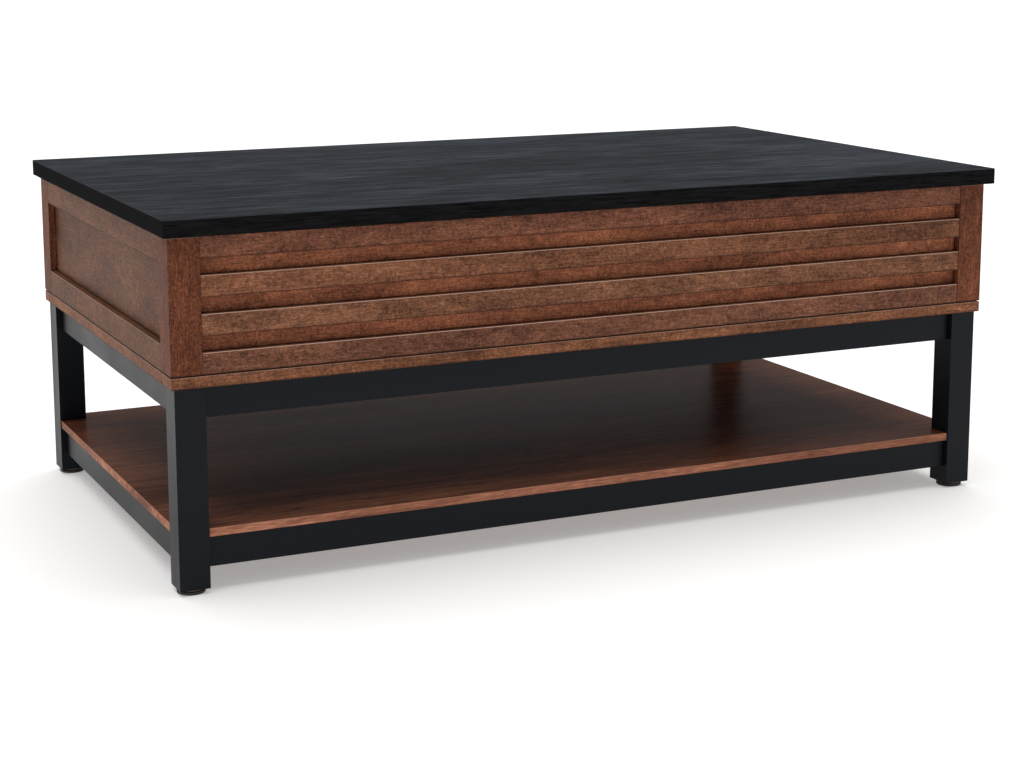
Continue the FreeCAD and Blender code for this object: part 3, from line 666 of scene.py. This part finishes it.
def coil_path():
    """The wire between the eyes as (along, sideways, across): a shank, the coils and a shank."""
    shank = []
    for share in SHANK_SHARES:
        along = EYE + WIRE + (HOOK - EYE - WIRE) * share
        ease = share * share * (3 - 2 * share)
        shank.append((along, -COIL * ease, 0.0))
    coils = []
    for step in range(COIL_TURNS * COIL_STEPS + 1):
        angle = 2 * math.pi * step / COIL_STEPS
        along = HOOK + (SPRING_LENGTH - 2 * HOOK) * step / (COIL_TURNS * COIL_STEPS)
        coils.append((along, -COIL * math.cos(angle), COIL * math.sin(angle)))
    far_shank = [(SPRING_LENGTH - along, aside, across) for along, aside, across in reversed(shank)]
    return shank + coils + far_shank


def sweep(points, radius, sides, vertices, faces, closed=False):
    """Add a round bar swept along the points, or round a closed ring of them."""
    start = len(vertices)
    normal = ACROSS.copy()
    count = len(points)
    for index, point in enumerate(points):
        if closed:
            along = (points[(index + 1) % count] - points[index - 1]).normalized()
        else:
            along = (points[min(index + 1, count - 1)] - points[max(index - 1, 0)]).normalized()
        normal = (normal - along * normal.dot(along)).normalized()
        side = along.cross(normal)
        for step in range(sides):
            angle = 2 * math.pi * step / sides
            vertices.append(point + normal * radius * math.cos(angle) + side * radius * math.sin(angle))
    for ring in range(count if closed else count - 1):
        near = start + ring * sides
        far = start + (ring + 1) % count * sides
        for step in range(sides):
            following = (step + 1) % sides
            faces.append((near + step, near + following, far + following, far + step))
    if not closed:
        faces.append(tuple(start + step for step in reversed(range(sides))))
        faces.append(tuple(start + (count - 1) * sides + step for step in range(sides)))


def new_piece(name, vertices, faces, material, smooth=True):
    """A new mesh object in the frame's own space."""
    mesh = bpy.data.meshes.new(name)
    mesh.from_pydata([tuple(vertex) for vertex in vertices], [], faces)
    mesh.materials.append(material)
    for polygon in mesh.polygons:
        polygon.use_smooth = smooth
    piece = bpy.data.objects.new(name, mesh)
    bpy.context.scene.collection.objects.link(piece)
    return piece


def spring_centres():
    """How far across each spring's middle lies."""
    low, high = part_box("lift_springs")
    return low.x + COIL + WIRE, high.x - COIL - WIRE


def spring_piece(name, vertices, faces, body):
    """One of the pieces that together stand for the pair of springs."""
    piece = new_piece(name, vertices, faces, bpy.data.materials["spring_steel"])
    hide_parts("lift_springs")
    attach(piece, body)
    return piece


def spring_eyes(name, place, body):
    """A ring of wire round each spring's pin. It turns with the pin's own body."""
    vertices, faces = [], []
    for centre in spring_centres():
        points = []
        for step in range(EYE_STEPS):
            angle = 2 * math.pi * step / EYE_STEPS
            spot = Vector((0, EYE * math.cos(angle), EYE * math.sin(angle)))
            points.append(Vector((centre, place.y, place.z)) + spot)
        sweep(points, WIRE, WIRE_SIDES, vertices, faces, closed=True)
    spring_piece(name, vertices, faces, body)


def wire_springs():
    """The pair of extension springs, which shorten as the top lifts: coiled wire with an eye at each end, drawn as
    one fixed shape.
    """
    fixed_end, direction = spring_line()
    sideways = ACROSS.cross(direction)
    vertices, faces = [], []
    for centre in spring_centres():
        fixed = Vector((centre, fixed_end.y, fixed_end.z))
        points = []
        for along, aside, across in coil_path():
            points.append(fixed + direction * along + sideways * aside + ACROSS * across)
        sweep(points, WIRE, WIRE_SIDES, vertices, faces)
    coils = spring_piece("spring_coils", vertices, faces, "frame")
    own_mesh(coils)
    spring_eyes("spring_fixed_eyes", fixed_end, "frame")
    spring_eyes("spring_moving_eyes", fixed_end + direction * SPRING_LENGTH, JOINTS["lift"]["child"])


# ---------------------------------------------------------------- screws and pins

def loose_boxes(name):
    """The box of each separate solid of a CAD node."""
    node = frame["nodes"][name]
    places = {}
    groups = []
    member = {}
    for polygon in node.data.polygons:
        keys = []
        for index in polygon.vertices:
            spot = node.matrix_world @ node.data.vertices[index].co
            key = tuple(round(value / SAME_POINT) for value in spot)
            places[key] = spot
            keys.append(key)
        joined = {member[key] for key in keys if key in member}
        target = min(joined) if joined else len(groups)
        if not joined:
            groups.append(set())
        for other in joined - {target}:
            for key in groups[other]:
                member[key] = target
            groups[target] |= groups[other]
            groups[other] = set()
        for key in keys:
            member[key] = target
            groups[target].add(key)
    boxes = []
    for group in groups:
        if group:
            spots = [places[key] for key in group]
            low = Vector(min(spot[axis] for spot in spots) for axis in range(3))
            high = Vector(max(spot[axis] for spot in spots) for axis in range(3))
            boxes.append((low, high))
    return boxes


# A screw's own proportions: shares of its head radius, unless the name says otherwise.
SCREW_SIDES = 32
RIM_SHARE = 0.94
SHANK_SHARE = 0.5
TIP_SHARE = 0.05
RECESS_ARM = 0.55
RECESS_WIDTH = 0.16
RECESS_FLOOR_ARM = 0.5 * RECESS_ARM
RECESS_FLOOR_WIDTH = 0.6 * RECESS_WIDTH
RIM_DROP = 0.12 * MM
HEAD_DEPTH = 2 * MM
RECESS_DEPTH = 1.3 * MM
POINT_START_ALONG_LENGTH = 0.85
CROSS_CORNERS = 12


def screw_head(centre, outward, radius, length, vertices, faces):
    """Add a countersunk screw with a cross recess: centre is the middle of its face."""
    across = outward.orthogonal().normalized()
    aside = outward.cross(across)

    def ring(distance, depth):
        first = len(vertices)
        for step in range(SCREW_SIDES):
            angle = 2 * math.pi * step / SCREW_SIDES
            flat = across * distance * math.cos(angle) + aside * distance * math.sin(angle)
            vertices.append(centre + flat - outward * depth)
        return first

    def bridge(first, second, count=SCREW_SIDES):
        for step in range(count):
            following = (step + 1) % count
            faces.append((first + step, second + step, second + following, first + following))

    def cross(size, width, depth):
        first = len(vertices)
        for quarter in range(4):
            turn = Matrix.Rotation(math.pi / 2 * quarter, 4, outward)
            for out, over in ((width, -width), (size, -width), (size, width)):
                flat = turn @ (across * out + aside * over)
                vertices.append(centre + flat - outward * depth)
        return first

    rim = ring(radius * RIM_SHARE, 0.0)
    shoulder = ring(radius, RIM_DROP)
    neck = ring(radius * SHANK_SHARE, HEAD_DEPTH)
    shank_end = ring(radius * SHANK_SHARE, length * POINT_START_ALONG_LENGTH)
    point = ring(radius * TIP_SHARE, length)
    bridge(rim, shoulder)
    bridge(shoulder, neck)
    bridge(neck, shank_end)
    bridge(shank_end, point)
    faces.append(tuple(range(point, point + SCREW_SIDES)))
    mouth = cross(radius * RECESS_ARM, radius * RECESS_WIDTH, 0.0)
    bottom = cross(radius * RECESS_FLOOR_ARM, radius * RECESS_FLOOR_WIDTH, RECESS_DEPTH)
    bridge(mouth, bottom, CROSS_CORNERS)
    faces.append(tuple(range(bottom, bottom + CROSS_CORNERS)))
    # The face is filled quarter by quarter between the rim and the cross, 3 corners of it at a time.
    per_quarter = SCREW_SIDES // 4
    half = per_quarter // 2
    for quarter in range(4):
        notch = mouth + 3 * quarter
        after = mouth + (3 * quarter + 3) % CROSS_CORNERS
        spots = [rim + (per_quarter * quarter + step) % SCREW_SIDES for step in range(per_quarter + 1)]
        faces.append((notch + 1, notch + 2, *reversed(spots[:2])))
        for step in range(1, half):
            faces.append((notch + 2, spots[step + 1], spots[step]))
        faces.append((notch + 2, after, spots[half]))
        for step in range(half, per_quarter):
            faces.append((after, spots[step + 1], spots[step]))
        faces.append((after, after + 1, spots[per_quarter]))


def recessed_screws(node, piece_name, body, upright):
    """A node's screws with cross recesses: upright ones face down, the others face inwards."""
    vertices, faces = [], []
    for low, high in loose_boxes(node):
        middle = (low + high) / 2
        if upright:
            centre = Vector((middle.x, middle.y, low.z))
            outward = Vector((0, 0, -1))
            length = high.z - low.z
            radius = (high.x - low.x) / 2
        else:
            inner = high.x if middle.x < 0 else low.x
            centre = Vector((inner, middle.y, middle.z))
            outward = Vector((math.copysign(1, -middle.x), 0, 0))
            length = high.x - low.x
            radius = (high.y - low.y) / 2
        screw_head(centre, outward, radius, length, vertices, faces)
    slot = RECORD_SLOTS[node]
    piece = new_piece(piece_name, vertices, faces, bpy.data.materials[slot], smooth=False)
    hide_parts(node)
    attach(piece, body)


def ease_metal():
    """Deburred edges on the linkage's plates, arms and pins."""
    for name, slot in RECORD_SLOTS.items():
        if slot == "black_steel":
            soften(name, METAL_EASE)
    for name in ("lower_pivot_pins", "upper_pivot_pins"):
        soften(name, PIN_EASE, segments=3)


# ---------------------------------------------------------------- studio

FLOOR_SIZE = 120
# The sky's strength as a light on the table, and as the white backdrop that every view shows.
SKY_LIGHT = 0.38
SKY_SEEN = 1.0


def studio():
    """A pale floor, and a sky that lights the table softly and shows as white as the floor."""
    bpy.ops.mesh.primitive_plane_add(size=FLOOR_SIZE, location=(0, 0, CAD_BOX[0].z))
    floor = bpy.context.object
    floor.name = "studio_floor"
    floor.data.materials.append(studio_floor("studio_floor"))
    world = bpy.data.worlds.new("studio_sky")
    world.use_nodes = True
    tree = world.node_tree
    background = tree.nodes["Background"]
    background.inputs["Color"].default_value = (1.0, 1.0, 1.0, 1.0)
    seen = add(tree, "ShaderNodeLightPath").outputs["Is Camera Ray"]
    tree.links.new(stretch(tree, seen, 0.0, 1.0, SKY_LIGHT, SKY_SEEN), background.inputs["Strength"])
    bpy.context.scene.world = world


def soft_sun(name, energy, tint, spread, tilt, heading):
    """A very soft light from far away: tilt is from straight overhead, heading from the back."""
    light = bpy.data.lights.new(name, "SUN")
    light.energy = energy
    light.color = tint
    light.angle = math.radians(spread)
    lamp = bpy.data.objects.new(name, light)
    turn = Matrix.Rotation(math.radians(heading), 4, "Z") @ Matrix.Rotation(math.radians(-tilt), 4, "X")
    lamp.rotation_euler = turn.to_euler()
    bpy.context.scene.collection.objects.link(lamp)


def lights():
    """One broad light overhead and one low behind, which lays a cool sheen over the flat faces."""
    soft_sun("overhead", energy=2.25, tint=(1.0, 1.0, 1.0), spread=72, tilt=8, heading=0)
    soft_sun("behind", energy=0.12, tint=(0.8, 0.92, 1.0), spread=40, tilt=72, heading=-25)


# In metres, degrees and millimetres of lens. Yaw is to the right of +Y, and pitch is upwards.
CAMERA_PLACE = (-1.2425, -2.6636, 0.8072)
CAMERA_YAW = 25.231
CAMERA_PITCH = -9.851
CAMERA_ROLL = 0.068
CAMERA_LENS = 71.17
CAMERA_SHIFT = -0.10
CAMERA_REACH = 200.0


def camera():
    """The photograph's view: from the front left, a little above the table."""
    data = bpy.data.cameras.new("camera")
    data.sensor_fit = "HORIZONTAL"
    data.sensor_width = 36.0
    data.lens = CAMERA_LENS
    data.shift_y = CAMERA_SHIFT
    data.clip_end = CAMERA_REACH
    eye = bpy.data.objects.new("camera", data)
    eye.location = CAMERA_PLACE
    yaw = math.radians(CAMERA_YAW)
    pitch = math.radians(CAMERA_PITCH)
    roll = math.radians(CAMERA_ROLL)
    upright = Matrix.Rotation(-yaw, 4, "Z") @ Matrix.Rotation(math.pi / 2 + pitch, 4, "X")
    turned = upright @ Matrix.Rotation(-roll, 4, "Z")
    eye.rotation_euler = turned.to_euler()
    bpy.context.scene.collection.objects.link(eye)
    bpy.context.scene.camera = eye


dress_boards()
dress_rest()
ease_metal()
wire_springs()
recessed_screws("bracket_screws", "bracket_screw_heads", "frame", upright=False)
recessed_screws("top_bracket_screws", "top_screw_heads", "top", upright=True)
studio()
lights()
camera()
bpy.context.scene.view_settings.view_transform = "Standard"
